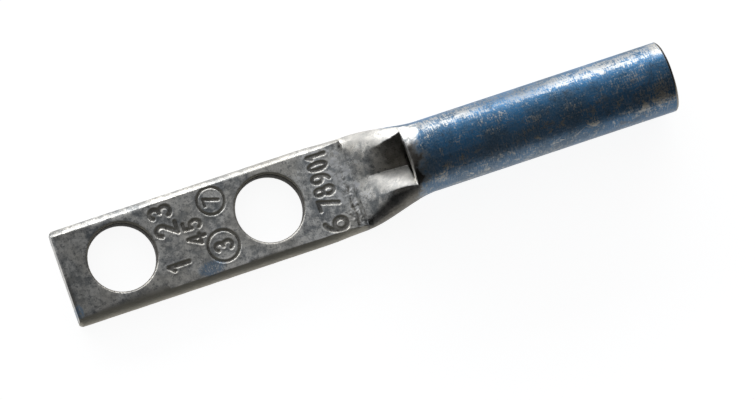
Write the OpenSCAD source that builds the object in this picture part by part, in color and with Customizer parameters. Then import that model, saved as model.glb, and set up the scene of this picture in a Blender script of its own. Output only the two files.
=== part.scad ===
// Two-hole long-barrel cable lug, made from one length of copper tube.
// The tube is pressed flat into a palm at one end and left round at the other,
// and a V-shaped pocket sheared into the neck leaves the inspection window open.
// Underside on z = 0, tube axis along X, palm towards -X, wire mouth towards +X.

/* [Tube] */
// Outside diameter of the round barrel
barrel_od = 7.45; // [6.5:0.05:9]
// Wall of the tube; the flattened palm is two walls thick
tube_wall = 1.0; // [0.8:0.05:1.2]
// Length of the barrel from the window's cut edge to the mouth
barrel_len = 28.5; // [20:0.5:45]
// Chamfer round the outside of the mouth
mouth_chamfer = 0.15; // [0.05:0.05:0.3]
// Lead-in chamfer round the bore at the mouth
bore_chamfer = 0.25; // [0.1:0.05:0.5]

/* [Palm] */
// Width of the flat palm
palm_w = 10.3; // [10:0.1:14]
// Length of the palm from its sheared end to the press step
palm_len = 31.2; // [31:0.5:45]
// How far each rounded side of the palm bulges past its flat faces
side_bulge = 0.73; // [0.4:0.05:1.2]
// Corner broken off each upright corner of the sheared end
corner_break = 0.3; // [0.1:0.05:0.6]

/* [Stud holes] */
// Diameter of each stud hole
hole_d = 7.05; // [5:0.05:8]
// Spacing of the two stud holes
hole_pitch = 15.875; // [12:0.125:18]
// Sheared end of the palm to the centre of the first hole
hole_edge = 6.25; // [5:0.25:7]
// How far the line of holes was punched off the centre line
hole_offset = 0.25; // [0:0.05:0.5]
// Rolled-in rim round the top of each hole
hole_rim = 0.2; // [0.1:0.05:0.3]

/* [Neck] */
// Length from the press step to the window's cut edge
neck_len = 5.5; // [4.5:0.1:8]
// Length from the cut edge to where the tube is fully round
round_out = 2.3; // [1.5:0.1:4]
// Width of the tube at the press step
neck_w = 9.95; // [9:0.05:10]
// Length over which the palm narrows to the neck
taper_len = 4.6; // [2:0.1:5]
// Width of the rounded shoulder just past the press step
shoulder_w = 1.45; // [1:0.05:2]

/* [Inspection window] */
// Width of the cut across the top of the tube
window_w = 5.9; // [4:0.1:6.2]
// Width between the two lobes that the punch left, half-way along the neck
pocket_w = 4.9; // [3.5:0.1:5.2]
// Rise of the pocket's floor from the palm to the cut edge
pocket_rise = 1.9; // [1.2:0.05:2.2]
// Length over which the pocket's floor climbs from the palm
pocket_ramp = 1.8; // [1:0.1:3]
// How far the pocket's floor runs off the centre line at the cut edge
pocket_skew = 0.3; // [0:0.05:0.5]
// Start of the hollow inside the neck, past the press step
hollow_start = 0.9; // [0.8:0.1:2]

/* [Hidden] */
$fn = 96;

barrel_r = barrel_od / 2;
bore_r = barrel_r - tube_wall;
palm_t = 2 * tube_wall;
overall_len = palm_len + neck_len + barrel_len;
transition = neck_len + round_out;
cut_u = neck_len / transition;
overlap = 0.15;
inset = 0.02;
end_inset = 0.06;
least_gap = 0.05;
arc_steps = 8;
flank_steps = 6;
flank_dome = 1.3;
floor_wall = 1.35 * tube_wall;
neck_steps = [0.03, 0.09, 0.16, 0.23, 0.3, 0.37, 0.45, 0.53, 0.61, 0.69, 0.77, 0.85, 0.93, 1];
neck_stations = [for (t = neck_steps) t * cut_u];
hollow_u = hollow_start / transition;
hollow_steps = [0, 0.07, 0.15, 0.24, 0.34, 0.44, 0.54, 0.64, 0.73, 0.82, 0.91, 1];
hollow_stations = [for (t = hollow_steps) lerp(hollow_u, cut_u, t)];
collar_stations = [for (t = [0, 0.12, 0.25, 0.4, 0.58, 0.78, 1]) lerp(cut_u, 1, t)];

// ---- shape of the neck: s runs from 0 at the press step to 1 where the tube is round ----

function lerp(a, b, t) = a + (b - a) * t;
function smooth(t) = let (c = max(0, min(1, t))) c * c * (3 - 2 * c);

function half_width(s) = lerp(neck_w / 2, barrel_r, smooth(s));
function height(s) = lerp(palm_t, barrel_od, sin(90 * s));
function shoulder(s) = lerp(shoulder_w, barrel_r, sin(90 * s));

// The punched pocket: half width between its lobes, floor, softness and drift of its crease
function lobe(s) = lerp(pocket_w, window_w, pow(min(1, s / cut_u), 4)) / 2;
function climb(s) = smooth(s * transition / pocket_ramp);
function pocket_floor(s) = palm_t + pocket_rise * (0.42 * climb(s) + 0.58 * min(1, s / cut_u));
function crease_soft(s) = lerp(1.4, 0.03, climb(s));
function drift(s) = -pocket_skew * pow(min(1, s / cut_u), 2);
function softened(y, soft) = sqrt(y * y + soft * soft) - soft;

// Height of a round-shouldered tube over a point y off its centre line
function roof(y, w, a, bottom, top) =
    let (r = (top - bottom) / 2, d = max(0, abs(y) - (w - a)) / a)
    bottom + r + r * sqrt(max(0, 1 - d * d));
function crest_angle(w, a, half) = acos(max(0, min(1, (half - w + a) / a)));

// Side of a tube with width 2w, shoulder a and the given bottom and top,
// from its flat underside up to the angle b_end on the upper shoulder
function side_arc(w, a, bottom, top, b_end) =
    let (r = (top - bottom) / 2)
    concat([for (i = [0 : arc_steps]) let (b = -90 + 90 * i / arc_steps)
                [w - a + a * cos(b), bottom + r + r * sin(b)]],
           [for (i = [1 : arc_steps]) let (b = b_end * i / arc_steps)
                [w - a + a * cos(b), bottom + r + r * sin(b)]]);

// Whole section: one side, the points across its top and the side mirrored
function whole(side, across) =
    concat(side, across, [for (i = [len(side) - 1 : -1 : 0]) [-side[i][0], side[i][1]]]);

// Section with the pocket pressed into its top: each flank is domed, steep at the crease
function pressed_section(w, a, bottom, top, half, floor_z, soft, skew) =
    let (rise = roof(half, w, a, bottom, top) - floor_z, far = softened(half, soft))
    whole(side_arc(w, a, bottom, top, crest_angle(w, a, half)),
          [for (k = [flank_steps : -1 : -flank_steps])
              let (t = k / (flank_steps + 1), y = half * t, d = 1 - softened(y, soft) / far)
              [y + skew * (1 - t * t), floor_z + rise * (1 - pow(d, flank_dome))]]);

// Pressed palm: two flats, and a side that bulges between the creases at their edges
function palm_side(w, a) =
    [for (i = [-arc_steps : arc_steps]) let (h = i / arc_steps) [w - a * h * h, palm_t * (1 + h) / 2]];
function palm_section(w, a) =
    whole(palm_side(w, a),
          [for (k = [flank_steps : -1 : -flank_steps]) [(w - a) * k / (flank_steps + 1), palm_t]]);
function neck_section(s) =
    pressed_section(half_width(s), shoulder(s), 0, height(s),
                    lobe(s), pocket_floor(s), crease_soft(s), drift(s));
function hollow_section(s, wall) =
    pressed_section(half_width(s) - wall, shoulder(s) - wall, wall, height(s) - wall,
                    lobe(s) - wall * 0.15,
                    max(pocket_floor(s) - floor_wall + tube_wall - wall, wall + least_gap),
                    crease_soft(s) + 0.2, drift(s));
function collar_section(s, wall) =
    let (skin_in = wall + inset * s,
         w = half_width(s) - skin_in, a = min(w - 0.05, shoulder(s) - skin_in),
         bottom = skin_in, top = height(s) - skin_in, r = (top - bottom) / 2,
         b = crest_angle(half_width(cut_u), shoulder(cut_u), lobe(cut_u)))
    whole(side_arc(w, a, bottom, top, b),
          [for (k = [1 : 2 * flank_steps + 1])
              let (c = lerp(b, 180 - b, k / (2 * flank_steps + 2)), flat = cos(c) < 0 ? a - w : w - a)
              [(abs(cos(c)) < 0.001 ? 0 : flat) + a * cos(c), bottom + r + r * sin(c)]]);

// Solid skinned through sections with the same number of points, each at its own x
module skin(xs, sections) {
    n = len(sections[0]);
    m = len(sections);
    polyhedron(
        points = [for (j = [0 : m - 1]) for (p = sections[j]) [xs[j], p[0], p[1]]],
        faces = concat(
            [[for (i = [0 : n - 1]) i]],
            [for (j = [0 : m - 2]) for (i = [0 : n - 1]) let (k = (i + 1) % n)
                [j * n + i, j * n + n + i, j * n + n + k, j * n + k]],
            [[for (i = [n - 1 : -1 : 0]) (m - 1) * n + i]]),
        convexity = 6);
}

// ---- the formed regions, measured from the sheared end of the palm ----

module palm() {
    intersection() {
        rotate([90, 0, 90])
            linear_extrude(palm_len - taper_len)
                polygon(palm_section(palm_w / 2, side_bulge));
        linear_extrude(palm_t)
            polygon([[corner_break, -palm_w / 2], [palm_len, -palm_w / 2], [palm_len, palm_w / 2],
                     [corner_break, palm_w / 2], [0, palm_w / 2 - corner_break],
                     [0, corner_break - palm_w / 2]]);
    }
}

// The last stretch of the palm narrows while its flat face widens up to the press step
module palm_taper() {
    steps = [0, 0.25, 0.5, 0.75, 1];
    skin([for (t = steps) palm_len - taper_len * (1 - t)],
         [for (t = steps)
             palm_section(lerp(palm_w, neck_w, smooth(t)) / 2,
                          lerp(side_bulge, side_bulge / 2, t * t))]);
}

module neck() {
    skin([for (s = neck_stations) palm_len + (s == neck_stations[0] ? 0 : s * transition)],
         [for (s = neck_stations) neck_section(s)]);
}

// Its last stretch shrinks a little and ends inside the collar's own hollow
module neck_hollow() {
    skin(concat([for (s = hollow_stations) palm_len + s * transition],
                [palm_len + neck_len + overlap]),
         concat([for (s = hollow_stations) hollow_section(s, tube_wall)],
                [hollow_section(cut_u, tube_wall + end_inset)]));
}

// Wall of the tube between the cut edge and the round barrel
module collar(wall) {
    skin(concat([for (s = collar_stations) palm_len + s * transition],
                [palm_len + transition + overlap]),
         concat([for (s = collar_stations) collar_section(s, wall)], [collar_section(1, wall)]));
}

module barrel() {
    length = barrel_len - round_out;
    translate([palm_len + transition, 0, barrel_r])
        rotate([0, 90, 0]) {
            cylinder(r = barrel_r, h = length - mouth_chamfer);
            translate([0, 0, length - mouth_chamfer])
                cylinder(r1 = barrel_r, r2 = barrel_r - mouth_chamfer, h = mouth_chamfer);
        }
}

module bore() {
    length = barrel_len - round_out;
    translate([palm_len + transition, 0, barrel_r])
        rotate([0, 90, 0]) {
            cylinder(r = bore_r, h = length + 1);
            translate([0, 0, length - bore_chamfer])
                cylinder(r1 = bore_r, r2 = bore_r + 2 * bore_chamfer, h = 2 * bore_chamfer);
        }
}

module stud_holes() {
    for (i = [0, 1])
        translate([hole_edge + i * hole_pitch, hole_offset, 0]) {
            translate([0, 0, -1])
                cylinder(d = hole_d, h = palm_t + 2);
            translate([0, 0, palm_t - hole_rim])
                cylinder(d1 = hole_d, d2 = hole_d + 4 * hole_rim, h = 2 * hole_rim);
        }
}

module lug() {
    color([0.62, 0.62, 0.6])
        translate([-overall_len / 2, 0, 0])
            difference() {
                union() {
                    palm();
                    palm_taper();
                    neck();
                    collar(0);
                    barrel();
                }
                stud_holes();
                neck_hollow();
                collar(tube_wall);
                bore();
            }
}

lug();
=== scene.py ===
"""Two-hole copper cable lug, tin plated, with worn blue ink on its wire barrel."""
import functools
import math

import bmesh
import bpy
import numpy as np
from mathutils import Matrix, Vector, noise


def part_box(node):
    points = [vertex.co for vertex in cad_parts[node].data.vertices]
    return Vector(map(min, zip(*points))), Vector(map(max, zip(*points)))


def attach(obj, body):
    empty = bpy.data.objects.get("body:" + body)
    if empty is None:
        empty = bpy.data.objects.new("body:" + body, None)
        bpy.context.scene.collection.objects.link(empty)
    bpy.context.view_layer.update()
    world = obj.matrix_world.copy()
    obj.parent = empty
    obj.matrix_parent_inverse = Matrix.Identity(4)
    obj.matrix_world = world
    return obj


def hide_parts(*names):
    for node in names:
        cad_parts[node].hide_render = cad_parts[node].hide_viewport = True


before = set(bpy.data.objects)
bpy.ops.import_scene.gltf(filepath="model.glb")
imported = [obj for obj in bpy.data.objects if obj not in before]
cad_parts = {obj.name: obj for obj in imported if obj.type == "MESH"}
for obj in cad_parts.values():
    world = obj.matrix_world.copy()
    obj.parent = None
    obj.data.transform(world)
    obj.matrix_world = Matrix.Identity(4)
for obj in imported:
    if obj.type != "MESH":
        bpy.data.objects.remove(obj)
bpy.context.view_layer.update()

MM = 0.001
TOUCH = 1e-6  # places closer than this count as one

# the lug along X, from the palm's tip to the wire mouth
LOW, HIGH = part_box("lug")
TIP = LOW.x
MOUTH = HIGH.x
STEP = TIP + 31.2 * MM
NECK = 5.5 * MM
TRANSITION = 7.8 * MM
CUT = STEP + NECK

# palm and barrel
PALM_TOP = 2.0 * MM
BARREL_R = (HIGH.z - LOW.z) / 2
HOLES = (TIP + 6.25 * MM, TIP + 22.125 * MM)
HOLE_Y = 0.25 * MM
HOLE_R = 3.525 * MM

# neck and its pocket
NECK_HALF_W = 4.975 * MM
SHOULDER_W = 1.45 * MM
POCKET_W = 4.9 * MM
WINDOW_W = 5.9 * MM
POCKET_RAMP = 1.8 * MM
POCKET_RISE = 1.9 * MM
POCKET_SKEW = 0.3 * MM
CREASE_SOFT = (1.4 * MM, 0.03 * MM)
FLANK_DOME = 1.3

# stretches of the palm that carry marks, in mm: from and to, along from the tip and across
STAMPED = ((9.9, 18.4, -4.35, 4.4), (26.5, 31.19, -4.66, 4.66))
STAMP_GRID = 0.07 * MM
NECK_GRID = (0.16 * MM, 0.14 * MM)
BODY_GRID = 0.7 * MM
SHARP_ANGLE = 34

# the same places in mm, for the finish
TIP_X, STEP_X, CUT_X, MOUTH_X = (place / MM for place in (TIP, STEP, CUT, MOUTH))
AXIS_Z = 3.725
SKIN_R = 3.7

# ink smears on the palm: x, y, half length and half width, in mm
SMEARS = ((-18.1, -3.75, 1.7, 0.9), (-32.3, -3.7, 0.5, 0.9))

# colours, linear
TIN_DARK, TIN_LIGHT, TIN_WARM = (0.22, 0.232, 0.24), (0.7, 0.685, 0.65), (0.56, 0.525, 0.46)
TIN_STAIN, TIN_SPECK = (0.13, 0.135, 0.14), (0.12, 0.11, 0.1)
# the first colour is grime and painted shade in the stamped grooves, the second the near black of
# the holes' walls, the third painted shade in the pocket
MARK_GRIME_AND_SHADE, HOLE_WALL_DARK, POCKET_PAINTED_SHADE = (0.11, 0.095, 0.075), (0.03, 0.024, 0.018), (0.1, 0.085, 0.065)
DARK_BAND_PAST_CUT = (0.06, 0.05, 0.04)
# painted light on the pocket's flank that faces +Y: an even lift, a painted highlight towards the
# cut and painted shade near the step
FLANK_PAINTED_LIGHT, FLANK_PAINTED_HIGHLIGHT, FLANK_PAINTED_SHADE = (0.7, 0.68, 0.64), (0.9, 0.88, 0.83), (0.33, 0.325, 0.31)
FAR_SIDE, PALM_SIDE_PAINTED_SHADE = (0.3, 0.29, 0.27), (0.5, 0.47, 0.39)
# painted shade on faces turned to -Y: near black, lighter where a face turns fully to -Y; the
# palm's side colour above is the brown painted shade used on the palm
SIDE_PAINTED_SHADE, SIDE_LOW_PAINTED_SHADE = (0.028, 0.027, 0.026), (0.13, 0.12, 0.1)
# the middle worn colour is painted shade that dims a highlight on top
WORN_TOP, WORN_PAINTED_SHADE, WORN_SIDE = (0.54, 0.53, 0.5), (0.15, 0.17, 0.19), (0.46, 0.44, 0.39)
RIM_DARK, RIM_BROWN, BORE = (0.02, 0.017, 0.014), (0.26, 0.23, 0.18), (0.2, 0.19, 0.17)
INK_DEEP, INK_BRIGHT = (0.018, 0.078, 0.15), (0.016, 0.148, 0.33)
INK_BLACKENED, INK_SOIL, INK_HATCH = (0.035, 0.042, 0.05), (0.14, 0.12, 0.09), (0.08, 0.2, 0.36)
# the second colour is a painted reflection on the ink's -Y side
INK_SPECK, INK_PAINTED_REFLECTION = (0.13, 0.2, 0.28), (0.25, 0.34, 0.44)


# ---- nodes ----

def fresh_tree(owner):
    """The emptied node tree of a material or world."""
    owner.use_nodes = True
    owner.node_tree.nodes.clear()
    return owner.node_tree


class Nodes:
    """Adds nodes to one tree. A value is a number, a colour or another node's output."""

    def __init__(self, tree):
        self.tree = tree

    def new(self, kind, inputs=None, **settings):
        made = self.tree.nodes.new(kind)
        for key, value in settings.items():
            setattr(made, key, value)
        for key, value in (inputs or {}).items():
            socket = made.inputs[key]
            if isinstance(value, bpy.types.NodeSocket):
                self.tree.links.new(value, socket)
            else:
                socket.default_value = (*value, 1) if socket.type == "RGBA" else value
        return made

    def calc(self, operation, a, b=0.0, clamp=False):
        made = self.new("ShaderNodeMath", {0: a, 1: b}, operation=operation, use_clamp=clamp)
        return made.outputs[0]

    def fold(self, operation, values):
        return functools.reduce(functools.partial(self.calc, operation), values)

    def plus(self, *values):
        return self.fold("ADD", values)

    def times(self, *values):
        return self.fold("MULTIPLY", values)

    def most(self, *values):
        return self.fold("MAXIMUM", values)

    def minus(self, a, b):
        return self.calc("SUBTRACT", a, b)

    def rest(self, share):
        return self.minus(1.0, share)

    def ramp(self, value, low, high, to_low=0.0, to_high=1.0, kind="SMOOTHSTEP"):
        """Runs from to_low at low to to_high at high; low may be the greater of the two."""
        made = self.new("ShaderNodeMapRange",
                        {"Value": value, "From Min": low, "From Max": high,
                         "To Min": to_low, "To Max": to_high}, interpolation_type=kind)
        return made.outputs["Result"]

    def grain(self, place, scale, detail, roughness, distortion=0.0, stretch=None):
        if stretch:
            place = self.new("ShaderNodeMapping", {"Vector": place, "Scale": stretch}).outputs[0]
        made = self.new("ShaderNodeTexNoise",
                        {"Vector": place, "Scale": scale, "Detail": detail,
                         "Roughness": roughness, "Distortion": distortion})
        return made.outputs["Fac"]

    def mix(self, share, first, second):
        made = self.new("ShaderNodeMix", {0: share, 6: first, 7: second}, data_type="RGBA")
        return made.outputs[2]


# ---- the stamped marks: a plain run of numbers and two ringed numbers ----

def arc(cx, cy, rx, ry, start, stop, steps=14):
    turns = [math.radians(start + (stop - start) * i / steps) for i in range(steps + 1)]
    return [(cx + rx * math.cos(t), cy + ry * math.sin(t)) for t in turns]


# strokes of each numeral, in a box 0.6 wide and 1 high
NUMERAL = {
    "0": [arc(0.3, 0.5, 0.25, 0.46, 0, 360, 24)],
    "1": [[(0.12, 0.76), (0.32, 0.97), (0.32, 0.03)]],
    "2": [arc(0.3, 0.7, 0.25, 0.26, 165, -35) + [(0.05, 0.04), (0.57, 0.04)]],
    "3": [arc(0.28, 0.74, 0.23, 0.22, 150, -90) + arc(0.28, 0.27, 0.26, 0.25, 90, -150)],
    "4": [[(0.44, 0.03), (0.44, 0.97), (0.03, 0.3), (0.6, 0.3)]],
    "5": [[(0.52, 0.96), (0.13, 0.96), (0.1, 0.54)] + arc(0.28, 0.32, 0.27, 0.29, 130, -145)],
    "6": [arc(0.56, 0.34, 0.5, 0.62, 105, 175) + arc(0.3, 0.29, 0.25, 0.26, 180, 540, 22)],
    "7": [[(0.04, 0.96), (0.56, 0.96), (0.22, 0.03)]],
    "8": [arc(0.3, 0.74, 0.21, 0.21, 0, 360, 20), arc(0.3, 0.27, 0.26, 0.25, 0, 360, 22)],
    "9": [arc(0.3, 0.7, 0.25, 0.26, 0, 360, 22) + arc(0.04, 0.66, 0.51, 0.62, 0, -72)],
}

# numeral, its centre in mm from the tip and across, its height in mm, and how slim it is
MARKS = (
    ("1", 11.45, -2.4, 2.3, 1.0), ("2", 11.4, 1.4, 2.3, 0.9), ("3", 11.3, 3.35, 2.3, 0.9),
    ("4", 14.05, -0.5, 1.9, 0.9), ("5", 14.0, 1.1, 1.9, 0.85),
    ("6", 28.0, -3.6, 2.5, 0.95), ("7", 28.0, -1.3, 2.2, 0.8), ("8", 28.0, 0.1, 2.1, 0.75),
    ("9", 28.1, 1.45, 2.0, 0.75), ("0", 28.2, 2.75, 2.0, 0.7), ("1", 28.35, 3.85, 2.0, 0.7),
    ("3", 16.4, -1.94, 1.9, 0.9), ("7", 16.65, 2.85, 1.6, 0.9),
)

# rings round the last two numerals: centre, radius and half width of the stroke, in mm
RINGS = ((16.4, -1.94, 1.62, 0.15), (16.65, 2.85, 1.42, 0.14))
STROKE_SHARE = 0.105  # half width of a numeral's stroke, as a share of its height


def numeral_strokes(figure, x, y, height, slim):
    """Strokes of one numeral, in mm from the tip and across; its head points to the tip."""
    return [[(x - (q - 0.5) * height, y + (p - 0.3) * height * slim) for p, q in line]
            for line in NUMERAL[figure]]


def stamped_marks():
    """Ends of each straight piece of stroke, in metres from the tip, and each one's half width."""
    marks = [(numeral_strokes(*mark), STROKE_SHARE * mark[3]) for mark in MARKS]
    marks += [([arc(x, y, radius, radius, 0, 360, 48)], half) for x, y, radius, half in RINGS]
    ends, halves = [], []
    for strokes, half in marks:
        for line in strokes:
            for a, b in zip(line, line[1:]):
                ends.append((a, b))
                halves.append(half)
    return np.array(ends) * MM, np.array(halves) * MM


def gap_to_strokes(points, marks, chunk=4000):
    """Distance from each point to the edge of the nearest stroke; less than zero inside it."""
    ends, halves = marks
    start, along = ends[:, 0], ends[:, 1] - ends[:, 0]
    length2 = np.maximum((along ** 2).sum(1), 1e-18)
    best = np.full(len(points), 1.0)
    for first in range(0, len(points), chunk):
        some = points[first:first + chunk, None, :] - start[None]
        t = np.clip((some * along[None]).sum(2) / length2, 0, 1)
        off = some - t[..., None] * along[None]
        best[first:first + chunk] = (np.sqrt((off ** 2).sum(2)) - halves[None]).min(1)
    return best


def stamped_depth(gap):
    """Depth of a stamp at a distance from its stroke's edge: flat bottom, steep wall, low lip."""
    wall = np.clip((0.03 * MM - gap) / (0.14 * MM), 0, 1)
    lip = np.exp(-((gap - 0.12 * MM) / (0.08 * MM)) ** 2)
    return 0.13 * MM * wall * wall * (3 - 2 * wall) - 0.016 * MM * lip


def pressed_burr(x, y):
    """Height of the wrinkled band that the press left by its step, strongest on the -Y side."""
    x, y = x / MM, y / MM
    near = min(1.0, max(0.0, (1.6 - y) / 4.0))
    band = min(1.0, max(0.0, (x - 29.5 - 0.5 * noise.noise((y * 0.8, 3.1, 0.0))) / 0.5))
    ridge = 30.78 + 0.16 * noise.noise((y * 0.9, 0.4, 7.0))
    furrow = 30.32 + 0.2 * noise.noise((y * 0.8, 5.2, 2.0))
    lift = (0.06 + 0.08 * near) * math.exp(-((x - ridge) / 0.17) ** 2)
    drop = (0.03 + 0.05 * near) * math.exp(-((x - furrow) / 0.14) ** 2)
    rough = noise.noise((x * 2.3, y * 1.3, 1.0)) + 0.6 * noise.noise((x * 5.5, y * 4.0, 9.0))
    peak = 0.16 * math.exp(-((x - 31.05) / 0.25) ** 2 - ((y - 4.6) / 0.5) ** 2)
    return MM * (band * (lift - drop + (0.03 + 0.065 * near) * rough) + peak)


# ---- the lug ----

def slice_across(bm, axis, places, faces=None):
    """Cuts the faces, or the whole body, by planes square to one axis."""
    normal = Vector([1.0 if i == axis else 0.0 for i in range(3)])
    if faces is None:
        geom = bm.verts[:] + bm.edges[:] + bm.faces[:]
    else:
        edges = dict.fromkeys(e for f in faces for e in f.edges)
        geom = list(dict.fromkeys(v for e in edges for v in e.verts)) + list(edges) + list(faces)
    for place in places:
        cut = bmesh.ops.bisect_plane(bm, geom=geom, dist=1e-7, plane_co=normal * place,
                                     plane_no=normal)
        geom = cut["geom"]


def spread(low, high, step):
    """Evenly spaced places from low to high, about one step apart."""
    count = max(1, round((high - low) / step))
    return [low + (high - low) * i / count for i in range(count + 1)]


def palm_faces(bm, x0, x1, y0, y1):
    """Faces of the palm's flat top inside a rectangle."""
    def inside(face):
        c = face.calc_center_median()
        return (abs(c.z - PALM_TOP) < 2e-6 and face.normal.z > 0.99
                and x0 < c.x < x1 and y0 < c.y < y1)
    return [f for f in bm.faces if inside(f)]


def stamp_palm(bm, x0, x1, y0, y1, marks):
    """A close grid over one stretch of the palm, pressed down along the strokes."""
    past, side = 20 * MM, 10 * MM
    slice_across(bm, 0, (x0, x1), palm_faces(bm, x0 - past, x1 + past, -side, side))
    slice_across(bm, 1, (y0, y1), palm_faces(bm, x0, x1, -side, side))
    slice_across(bm, 0, spread(x0, x1, STAMP_GRID)[1:-1], palm_faces(bm, x0, x1, y0, y1))
    slice_across(bm, 1, spread(y0, y1, STAMP_GRID)[1:-1], palm_faces(bm, x0, x1, y0, y1))
    verts = [v for v in {v for f in palm_faces(bm, x0, x1, y0, y1) for v in f.verts}
             if x0 + TOUCH < v.co.x < x1 - TOUCH and y0 + TOUCH < v.co.y < y1 - TOUCH]
    verts.sort(key=lambda v: (v.co.x, v.co.y))
    points = np.array([(v.co.x - TIP, v.co.y) for v in verts])
    for vert, depth in zip(verts, stamped_depth(gap_to_strokes(points, marks))):
        vert.co.z += pressed_burr(vert.co.x - TIP, vert.co.y) - float(depth)


def round_hole_rims(bm):
    """Softens both edges of the rolled rim round the top of each hole."""
    def on_rim(edge):
        ends = [v.co for v in edge.verts]
        if max(v.z for v in ends) > PALM_TOP + TOUCH or abs(ends[0].z - ends[1].z) > TOUCH:
            return False
        for x in HOLES:
            far = [math.hypot(v.x - x, v.y - HOLE_Y) for v in ends]
            if abs(far[0] - far[1]) < 2e-5 and HOLE_R - 3e-5 < far[0] < HOLE_R + 2.4e-4:
                return edge.calc_face_angle(0) > 0.3
        return False
    rims = [e for e in bm.edges if on_rim(e)]
    bmesh.ops.bevel(bm, geom=rims, offset=0.06 * MM, offset_type="OFFSET", affect="EDGES",
                    segments=2, profile=0.5, material=-1, clamp_overlap=True)


def lerp(a, b, t):
    return a + (b - a) * t


def smooth(t):
    t = max(0.0, min(1.0, t))
    return t * t * (3 - 2 * t)


def neck_top(x, y):
    """Height of the neck's pressed top, x from the step: a round-shouldered tube with a pocket."""
    s = max(x / TRANSITION, 0.03 * NECK / TRANSITION)
    u = min(1.0, s * TRANSITION / NECK)
    rise = math.sin(math.pi / 2 * s)
    width = lerp(NECK_HALF_W, BARREL_R, smooth(s))
    top = lerp(PALM_TOP, 2 * BARREL_R, rise)
    shoulder = lerp(SHOULDER_W, BARREL_R, rise)

    def roof(off):
        d = max(0.0, abs(off) - (width - shoulder)) / shoulder
        return top / 2 * (1 + math.sqrt(max(0.0, 1 - d * d)))

    half = lerp(POCKET_W, WINDOW_W, u ** 4) / 2
    skew = -POCKET_SKEW * u * u
    if u > 0.02:
        root = math.sqrt(max(0.0, half * half - 4 * skew * (y - skew)))
        t = (half - root) / (2 * skew)
    else:
        t = y / half
    if abs(t) >= 1:
        return roof(y)
    climb = smooth(s * TRANSITION / POCKET_RAMP)
    floor = PALM_TOP + POCKET_RISE * (0.42 * climb + 0.58 * u)
    soft = lerp(*CREASE_SOFT, climb)
    d = 1 - (math.hypot(half * t, soft) - soft) / (math.hypot(half, soft) - soft)
    return floor + (roof(half) - floor) * (1 - max(0.0, d) ** FLANK_DOME)


def refine_neck(bm):
    """A closer mesh over the neck's pressed top, laid on its exact surface."""
    def top_faces():
        def on_top(face):
            c = face.calc_center_median()
            return (STEP < c.x < CUT and face.normal.z > 0.15
                    and abs(c.z - neck_top(c.x - STEP, c.y)) < 0.12 * MM)
        return [f for f in bm.faces if on_top(f)]
    along, across = NECK_GRID
    slice_across(bm, 0, spread(STEP, CUT, along)[1:-1], top_faces())
    slice_across(bm, 1, spread(-4.5 * MM, 4.5 * MM, across), top_faces())
    for vert in {v for f in top_faces() for v in f.verts}:
        x, y = vert.co.x - STEP, vert.co.y
        if 0.2 * MM < x < NECK + TOUCH and abs(y) < 4.0 * MM:
            vert.co.z = neck_top(x, y)


def close_collar_seam(bm):
    """Brings the collar's end flush with the barrel."""
    for vert in bm.verts:
        y, z = vert.co.y, vert.co.z - BARREL_R
        far = math.hypot(y, z)
        x = vert.co.x - STEP - TRANSITION
        if far > BARREL_R - 0.06 * MM and -0.03 * MM < x < 0.3 * MM:
            vert.co.y = y * BARREL_R / far
            vert.co.z = BARREL_R + z * BARREL_R / far
    bmesh.ops.remove_doubles(bm, verts=bm.verts, dist=4e-6)


def handle_edges(bm):
    """Slight waves and nicks in the palm's sides and the mouth, as handling leaves them."""
    for vert in bm.verts:
        x, y, z = vert.co / MM
        if vert.co.x < STEP - 0.1 * MM and abs(y) > 4.6:
            wave = 0.022 * noise.noise((x * 0.7, 2.0 * (y > 0), 0.0))
            nick = 0.05 * max(0.0, noise.noise((x * 1.9, 5.0 + (y > 0), z * 0.6)) - 0.35)
            vert.co.y += (wave - nick) * MM * (1 if y > 0 else -1)
        elif vert.co.x > MOUTH - 0.35 * MM:
            vert.co.x += 0.03 * MM * noise.noise((y * 0.6, z * 0.6, 4.0))


def lug_body():
    bm = bmesh.new()
    bm.from_mesh(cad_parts["lug"].data)
    bmesh.ops.remove_doubles(bm, verts=bm.verts, dist=2e-7)
    close_collar_seam(bm)
    round_hole_rims(bm)
    slice_across(bm, 0, spread(TIP + 0.4 * MM, MOUTH - 0.4 * MM, BODY_GRID))
    refine_neck(bm)
    marks = stamped_marks()
    for x0, x1, y0, y1 in STAMPED:
        stamp_palm(bm, TIP + x0 * MM, TIP + x1 * MM, y0 * MM, y1 * MM, marks)
    handle_edges(bm)
    mesh = bpy.data.meshes.new("lug_body")
    bm.to_mesh(mesh)
    bm.free()
    for face in mesh.polygons:
        face.use_smooth = True
    mesh.set_sharp_from_angle(angle=math.radians(SHARP_ANGLE))
    body = bpy.data.objects.new("lug_body", mesh)
    bpy.context.collection.objects.link(body)
    return body


# ---- the finish ----

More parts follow.
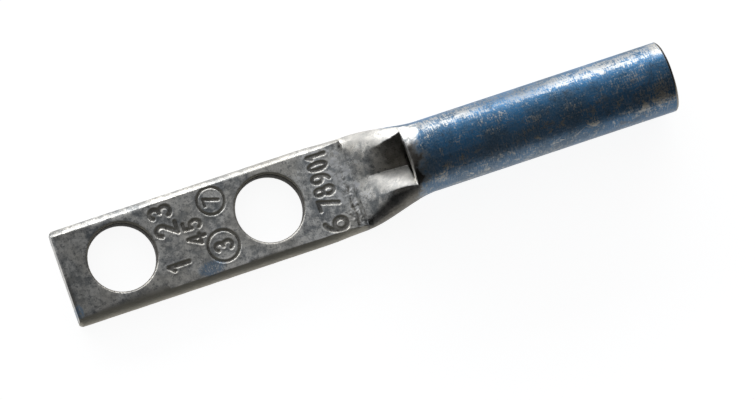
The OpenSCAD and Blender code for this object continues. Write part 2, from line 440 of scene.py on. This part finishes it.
class LugSurface(Nodes):
    """Where a point lies on the lug, in mm, and the grains and areas that the finish is made of."""

    def __init__(self, tree):
        super().__init__(tree)
        place = self.new("ShaderNodeTexCoord").outputs["Object"]
        place = self.new("ShaderNodeMapping", {"Vector": place, "Scale": (1 / MM,) * 3}).outputs[0]
        x, y, z = self.new("ShaderNodeSeparateXYZ", {0: place}).outputs
        normal = self.new("ShaderNodeNewGeometry").outputs["Normal"]
        _, facing_y, facing_z = self.new("ShaderNodeSeparateXYZ", {0: normal}).outputs
        self.place, self.x, self.y, self.z, self.facing_y = place, x, y, z, facing_y

        # angle round the barrel: 0 on the +Y side, a quarter turn on top, half a turn on -Y
        up = self.minus(z, AXIS_Z)
        self.turn = self.minus(math.pi / 2, self.calc("ARCTAN2", y, up))
        self.radius = self.calc("SQRT", self.plus(self.times(y, y), self.times(up, up)))
        outward = self.plus(self.times(facing_y, y), self.times(facing_z, up))
        self.outside = self.calc("GREATER_THAN", outward, 0.3)
        around = self.times(self.turn, SKIN_R)
        self.skin = self.new("ShaderNodeCombineXYZ", {0: x, 1: around, 2: 0.0}).outputs[0]

        self.mottle = self.grain(self.place, 0.7, 6, 0.75)
        self.speck = self.grain(self.place, 5.5, 3, 0.7)
        self.patchy = self.grain(self.skin, 0.5, 6, 0.78, 0.5)
        self.hatch = self.grain(self.skin, 1.0, 3, 0.7, stretch=(6.5, 1.2, 1.0))
        self.mark_areas()

    def mark_areas(self):
        """Shares, 0 to 1, of the areas that more than one layer of the finish asks for."""
        x, y, turn = self.x, self.y, self.turn
        self.top_band = self.times(self.ramp(turn, 0.35, 0.62), self.ramp(turn, 1.18, 0.9))
        self.low_side = self.ramp(turn, 1.5, 2.2)
        self.on_palm = self.ramp(x, STEP_X + 0.4, STEP_X - 1.6)
        self.in_pocket = self.times(self.ramp(x, STEP_X, STEP_X + 0.4),
                                    self.ramp(x, CUT_X + 0.05, CUT_X - 0.05),
                                    self.ramp(y, -3.1, -2.6))
        # the pocket's flank turned to +Y, where the finish paints light
        self.flank = self.times(self.in_pocket, self.ramp(self.facing_y, 0.1, 0.35))
        # past the cut the barrel's own curve says which way a point faces
        past_cut = self.ramp(x, CUT_X, CUT_X + 0.5)
        self.lean = self.plus(self.times(self.facing_y, self.rest(past_cut)),
                              self.times(self.calc("COSINE", turn), past_cut))
        # painted shade: faces turned to -Y, outside the pocket, are given darker side colours
        self.near_side_painted_shade = self.times(self.ramp(self.lean, -0.08, -0.38), self.rest(self.in_pocket))
        self.hole_walls = self.most(*(self.inside_hole(centre / MM) for centre in HOLES))

    def inside_hole(self, centre):
        off = self.new("ShaderNodeCombineXYZ", {0: self.minus(self.x, centre),
                                                1: self.minus(self.y, HOLE_Y / MM), 2: 0.0})
        far = self.new("ShaderNodeVectorMath", {0: off.outputs[0]}, operation="LENGTH")
        return self.calc("LESS_THAN", far.outputs["Value"], HOLE_R / MM + 0.035)


def tin_plate(s):
    """Dull tin: mottled, stained and specked, darker at the tip and lighter towards the step, most
    on the +Y half just before it.
    """
    cloud = s.grain(s.place, 0.2, 3, 0.6)
    stain = s.plus(s.times(s.grain(s.place, 2.0, 4, 0.75), 0.7), s.times(s.speck, 0.3))
    tin = s.mix(s.ramp(s.mottle, 0.39, 0.61), TIN_DARK, TIN_LIGHT)
    tin = s.mix(s.ramp(cloud, 0.4, 0.62, 0, 0.5), tin, TIN_WARM)
    tin = s.mix(s.times(s.ramp(stain, 0.49, 0.62), 0.7), tin, TIN_STAIN)
    tin = s.mix(s.ramp(s.speck, 0.58, 0.74, 0, 0.5), tin, TIN_SPECK)
    by_step = s.times(s.ramp(s.x, STEP_X - 7.1, STEP_X - 3.6),
                      s.ramp(s.x, STEP_X + 0.6, STEP_X - 0.4), s.ramp(s.y, -3.0, -0.5))
    lightness = s.times(s.ramp(s.x, TIP_X + 1.6, TIP_X + 17.6, 0.88, 1.38),
                        s.ramp(s.x, STEP_X - 11.6, STEP_X + 1.4, 1.0, 1.18),
                        s.plus(1.0, s.times(by_step, 0.32)))
    scaled = s.new("ShaderNodeVectorMath", {0: tin, "Scale": lightness}, operation="SCALE")
    return scaled.outputs[0]


def tin_with_grime_and_painted_light(s):
    """The tin with grime and painted shade in the marks, painted light on the pocket's flank, and
    painted shade on the -Y faces and in the pocket.
    """
    x, y, z, turn = s.x, s.y, s.z, s.turn
    # grime and painted shade in the stamped grooves, by depth below the palm's top
    in_marks = s.times(s.ramp(z, 1.99, 1.93), s.ramp(z, 1.8, 1.84),
                       s.calc("LESS_THAN", s.calc("ABSOLUTE", y), 4.38),
                       s.calc("LESS_THAN", x, STEP_X), s.ramp(s.speck, 0.3, 0.5, 0.5, 1.0))
    # darker on the palm's faces turned to +Y, more so towards the step
    far_side = s.times(s.ramp(s.facing_y, 0.12, 0.4), s.ramp(x, STEP_X, STEP_X - 0.2),
                       s.ramp(x, TIP_X + 5.6, STEP_X - 6.6, 0.0, 0.7))
    # painted shade on the faces turned to -Y, brown on the palm
    side = s.mix(s.ramp(s.lean, -0.62, -0.92), SIDE_PAINTED_SHADE, SIDE_LOW_PAINTED_SHADE)
    side = s.mix(s.on_palm, side, PALM_SIDE_PAINTED_SHADE)
    # painted shade on the pocket's far flank, the faces turned to -Y, deepening towards the cut
    pocket_painted_shade = s.times(s.in_pocket, s.ramp(s.facing_y, -0.05, -0.3),
                   s.ramp(x, STEP_X + 0.9, STEP_X + 4.4))
    # a darker band just past the cut, from the top round to the -Y side
    by_cut = s.times(s.ramp(x, CUT_X - 0.1, CUT_X + 0.2), s.ramp(x, CUT_X + 3.3, CUT_X + 1.5),
                     s.ramp(turn, 1.12, 1.3), s.ramp(turn, 2.5, 1.9, 0.45, 1.0))
    layers = (
        (s.times(in_marks, 0.65), MARK_GRIME_AND_SHADE),
        # painted light on the pocket's flank: even, a painted highlight towards the cut, painted
        # shade towards the step
        (s.times(s.flank, 0.45), FLANK_PAINTED_LIGHT),
        (s.times(s.flank, s.ramp(x, STEP_X + 3.6, STEP_X + 5.2, 0.0, 0.6)), FLANK_PAINTED_HIGHLIGHT),
        (s.times(s.flank, s.ramp(x, STEP_X + 4.0, STEP_X + 2.6, 0.0, 0.45)), FLANK_PAINTED_SHADE),
        (far_side, FAR_SIDE),
        (s.times(s.near_side_painted_shade, 0.92), side),
        (s.times(pocket_painted_shade, 0.85), POCKET_PAINTED_SHADE),
        (s.times(by_cut, 0.9), DARK_BAND_PAST_CUT),
        # near black on the holes' walls
        (s.times(s.hole_walls, 0.95), HOLE_WALL_DARK),
    )
    tin = tin_plate(s)
    for share, colour in layers:
        tin = s.mix(share, tin, colour)
    return tin


def bare_share(s):
    """Share of the ink that is gone: rubbed on top and at the mouth, chipped and scratched low."""
    x, turn = s.x, s.turn
    streak = s.grain(s.skin, 1.0, 3, 0.65, stretch=(0.55, 4.5, 1.0))
    streak = s.plus(0.5, s.times(s.minus(streak, 0.5), s.ramp(x, 6.5, 11.0)))
    by_mouth = s.times(s.ramp(x, MOUTH_X - 8.1, MOUTH_X - 3.6), s.ramp(turn, 1.2, 1.7),
                       s.ramp(turn, 2.9, 2.4))
    rub = s.plus(s.times(s.hatch, 0.34), s.times(s.speck, 0.16), s.times(streak, 0.2),
                 s.times(s.patchy, 0.3), s.times(s.top_band, 0.07), s.times(by_mouth, 0.025),
                 s.times(s.low_side, 0.01))
    chips = s.plus(s.patchy, s.times(s.low_side, 0.065), s.times(s.hatch, 0.14))
    chips = s.times(s.ramp(chips, 0.7, 0.72), s.ramp(turn, 2.75, 2.3, 0.35, 1.0),
                    s.rest(s.times(s.top_band, 0.6)))
    line = s.calc("ABSOLUTE", s.minus(s.grain(s.skin, 0.33, 3, 0.6, 0.8), 0.5))
    scratch = s.times(s.ramp(line, 0.012, 0.004),
                      s.ramp(s.grain(s.skin, 0.41, 2, 0.5), 0.5, 0.56), s.low_side)
    lip = s.times(s.ramp(x, MOUTH_X - 1.7, MOUTH_X - 0.8), s.ramp(turn, 0.25, 0.5),
                  s.ramp(turn, 1.15, 0.9), s.ramp(s.hatch, 0.35, 0.5, 0.4, 1.0))
    end = s.ramp(x, MOUTH_X - 0.3, MOUTH_X - 0.18)
    return s.most(s.times(s.ramp(rub, 0.524, 0.595), 0.75), chips, s.times(scratch, 0.8), lip, end)


def smeared(s, at_x, at_y, half_x, half_y):
    """One broken oval smear of ink on the palm."""
    off_x = s.calc("DIVIDE", s.minus(s.x, at_x), half_x)
    off_y = s.calc("DIVIDE", s.minus(s.y, at_y), half_y)
    far = s.plus(s.calc("POWER", off_x, 2.0), s.calc("POWER", off_y, 2.0))
    broken = s.ramp(s.plus(s.times(s.speck, 0.5), s.times(s.hatch, 0.5)), 0.43, 0.5)
    return s.times(s.ramp(far, 1.0, 0.3), broken)


def ink_cover(s):
    """Where the barrel was inked, and the share of ink left there and in the palm's smears."""
    turn = s.turn
    uneven = s.ramp(s.grain(s.skin, 0.9, 4, 0.6), 0.3, 0.7, -0.8, 0.8, "LINEAR")
    begin = s.plus(CUT_X + 0.65, s.ramp(turn, 1.2, 0.95, 0.0, 0.8),
                   s.ramp(turn, 0.6, 0.15, 0.0, -2.8), s.ramp(turn, 2.3, 2.9, 0.0, -0.7), uneven)
    inked = s.times(s.ramp(s.minus(s.x, begin), -0.3, 1.0), s.outside)
    left = s.calc("MULTIPLY", inked, s.rest(bare_share(s)), clamp=True)
    smears = s.most(*(smeared(s, *smear) for smear in SMEARS))
    return inked, s.most(left, s.times(smears, 0.85))


def ink_colour(s):
    """Blue ink: uneven, blackened and soiled in patches, hatched, and lightened by a broken painted
    reflection on the -Y side.
    """
    broad = s.grain(s.skin, 0.22, 3, 0.6)
    soil = s.times(s.ramp(s.grain(s.skin, 0.62, 4, 0.7, 0.6), 0.56, 0.66),
                   s.ramp(s.turn, 1.25, 1.6))
    # painted reflection: the ink made lighter, in broken patches, on the -Y side, less so towards
    # the mouth
    ink_painted_reflection = s.ramp(s.plus(s.times(s.hatch, 0.6), s.times(s.speck, 0.4)), 0.36, 0.6, 0.2, 0.8)
    ink_painted_reflection = s.times(s.low_side, ink_painted_reflection, s.ramp(s.x, 16.0, 26.0, 0.85, 0.4))
    ink = s.mix(s.ramp(broad, 0.38, 0.58), INK_DEEP, INK_BRIGHT)
    ink = s.mix(s.ramp(s.patchy, 0.45, 0.33, 0, 0.75), ink, INK_BLACKENED)
    ink = s.mix(s.times(soil, 0.6), ink, INK_SOIL)
    ink = s.mix(s.ramp(s.hatch, 0.35, 0.6, 0.35, 0.0), ink, INK_HATCH)
    ink = s.mix(s.ramp(s.speck, 0.44, 0.62, 0.0, 0.5), ink, INK_SPECK)
    return s.mix(ink_painted_reflection, ink, INK_PAINTED_REFLECTION)


def bare_plate(s, inked):
    """The metal: soiled tin, worn plate where the ink was, the cut end and the bore."""
    worn = s.mix(s.ramp(s.turn, 1.2, 2.0), WORN_TOP, WORN_SIDE)
    # painted shade: the worn plate on top is darkened about mid length to dim the lamp's highlight
    # there
    highlight_dimming = s.ramp(s.calc("ABSOLUTE", s.minus(s.x, 15.8)), 6.5, 2.0)
    worn = s.mix(s.times(highlight_dimming, s.top_band, 0.75), worn, WORN_PAINTED_SHADE)
    plate = s.mix(inked, tin_with_grime_and_painted_light(s), worn)
    rim = s.times(s.ramp(s.x, MOUTH_X - 0.3, MOUTH_X - 0.18), s.ramp(s.radius, 3.45, 3.55))
    plate = s.mix(rim, plate, s.mix(s.ramp(s.turn, 1.7, 2.3), RIM_DARK, RIM_BROWN))
    bore = s.times(s.calc("LESS_THAN", s.radius, 3.0), s.ramp(s.x, CUT_X + 0.1, CUT_X + 0.9))
    return s.mix(s.times(bore, 0.7), plate, BORE)


def tinned_copper():
    material = bpy.data.materials.new("tinned_copper")
    s = LugSurface(fresh_tree(material))
    inked, ink_share = ink_cover(s)
    colour = s.mix(ink_share, bare_plate(s, inked), ink_colour(s))
    # on the palm the painted side shade is also made less metallic and rougher
    side_dull = s.times(s.near_side_painted_shade, s.on_palm)
    dull = s.most(s.hole_walls, s.times(side_dull, 0.6), s.times(s.flank, 0.6))
    metal = s.times(s.ramp(ink_share, 0, 1, 1.0, 0.45, "LINEAR"),
                    s.ramp(dull, 0, 1, 1.0, 0.2, "LINEAR"))
    pressed = s.times(s.ramp(s.x, STEP_X, STEP_X + 1.9), s.ramp(s.x, CUT_X + 0.1, CUT_X - 0.1))
    rough = s.plus(s.ramp(s.speck, 0.3, 0.7, 0.3, 0.46, "LINEAR"), s.times(ink_share, 0.02),
                   s.times(pressed, 0.12), s.times(s.hole_walls, 0.3), s.times(side_dull, 0.15))
    height = s.plus(s.times(s.speck, 0.6), s.times(s.grain(s.place, 14.0, 2, 0.6), 0.35),
                    s.times(s.mottle, 1.4), s.times(s.hatch, inked, 2.2))
    bump = s.new("ShaderNodeBump", {"Height": height, "Strength": 0.4, "Distance": 0.04 * MM})
    shader = s.new("ShaderNodeBsdfPrincipled",
                   {"Base Color": colour, "Metallic": metal, "Roughness": rough, "IOR": 1.5,
                    "Normal": bump.outputs[0]})
    s.new("ShaderNodeOutputMaterial", {"Surface": shader.outputs["BSDF"]})
    return material


body = lug_body()
body.data.materials.clear()
body.data.materials.append(tinned_copper())
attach(body, "root")
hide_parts("lug")


# ---- floor, light and camera ----

def floor_plane():
    """A white floor that keeps the lug's faint shadow."""
    bm = bmesh.new()
    bmesh.ops.create_grid(bm, x_segments=1, y_segments=1, size=1.5)
    mesh = bpy.data.meshes.new("floor")
    bm.to_mesh(mesh)
    bm.free()
    floor = bpy.data.objects.new("floor", mesh)
    bpy.context.collection.objects.link(floor)
    material = bpy.data.materials.new("floor_white")
    f = Nodes(fresh_tree(material))
    grey = f.new("ShaderNodeBsdfDiffuse", {"Color": (0.28, 0.28, 0.28)})
    path = f.new("ShaderNodeLightPath").outputs
    seen = f.most(path["Is Camera Ray"], path["Is Glossy Ray"], path["Is Transmission Ray"])
    white = f.new("ShaderNodeEmission", {"Color": (1, 1, 1), "Strength": f.times(seen, 0.92)})
    both = f.new("ShaderNodeAddShader", {0: grey.outputs[0], 1: white.outputs[0]})
    f.new("ShaderNodeOutputMaterial", {"Surface": both.outputs[0]})
    floor.data.materials.append(material)


def soft_lamp(name, place, target, width, height, power):
    data = bpy.data.lights.new(name, "AREA")
    data.shape = "RECTANGLE"
    data.size = width
    data.size_y = height
    data.energy = power
    lamp = bpy.data.objects.new(name, data)
    bpy.context.collection.objects.link(lamp)
    lamp.location = place
    lamp.rotation_euler = (Vector(target) - Vector(place)).to_track_quat("-Z", "Y").to_euler()


def studio():
    """A sky that brightens towards +Y, with one long soft lamp low on that side."""
    world = bpy.data.worlds.new("studio")
    bpy.context.scene.world = world
    w = Nodes(fresh_tree(world))
    way = w.new("ShaderNodeSeparateXYZ", {0: w.new("ShaderNodeTexCoord").outputs["Generated"]})
    glow = w.plus(w.ramp(way.outputs[1], -0.5, 0.6, 0.05, 0.36),
                  w.ramp(way.outputs[1], 0.5, 0.95, 0.0, 0.55))
    sky = w.new("ShaderNodeBackground", {"Color": (0.93, 0.96, 1.0), "Strength": glow})
    w.new("ShaderNodeOutputWorld", {"Surface": sky.outputs[0]})
    soft_lamp("far_softbox", (0.0, 0.6, 0.12), (0, 0, 0.01), 1.4, 0.24, 4.4)
    bpy.context.scene.view_settings.view_transform = "Standard"


def camera():
    data = bpy.data.cameras.new("camera")
    data.sensor_width = 36
    data.lens = 238.4
    data.clip_start = 0.01
    eye = bpy.data.objects.new("camera", data)
    bpy.context.collection.objects.link(eye)
    eye.location = (TIP - 50.24 * MM, -75.48 * MM, 500.0 * MM)
    eye.rotation_euler = (0.1908, -0.1073, -0.3437)
    bpy.context.scene.camera = eye


floor_plane()
studio()
camera()
